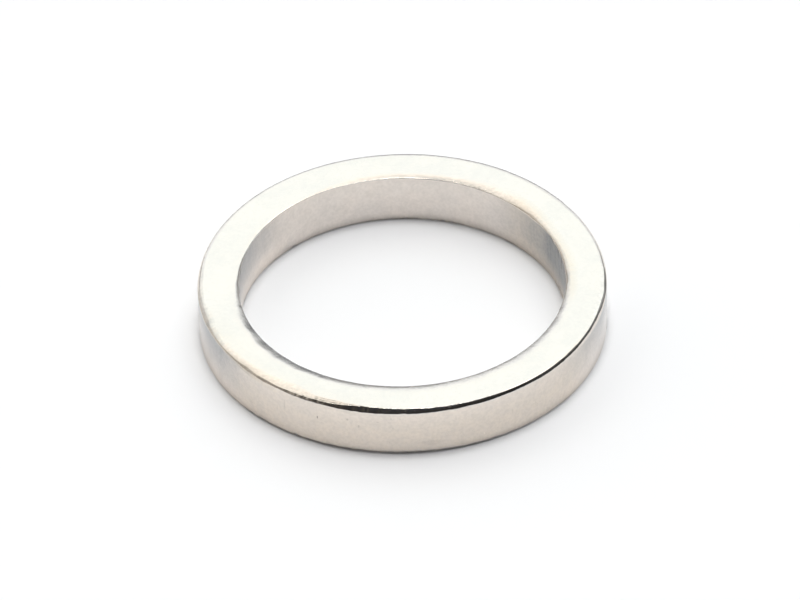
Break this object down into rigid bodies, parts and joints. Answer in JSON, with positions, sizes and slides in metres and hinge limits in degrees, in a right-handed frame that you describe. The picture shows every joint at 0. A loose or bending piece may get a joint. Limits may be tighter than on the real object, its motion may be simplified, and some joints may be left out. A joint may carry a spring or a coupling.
{
  "type": "ring magnet",
  "caption": "Narrow ring magnet of rectangular section with tumbled edges, bright nickel-plated, for holding, coupling or sensing around a shaft or in a pocket.",
  "frame": {"origin": "centre of the lower end face, where the ring's axis meets the surface it lies on", "axes": "+Z along the ring's axis, away from the surface it lies on; X and Y are equivalent, across the ring"},
  "size_m": [0.03, 0.03, 0.004],
  "materials": {
    "nickel_plating": "bright nickel plate over sintered magnet alloy, satin tumbled sheen with fine orange-peel"
  },
  "bodies": {
    "root": {"ring_magnet": "nickel_plating"}
  },
  "joints": []
}
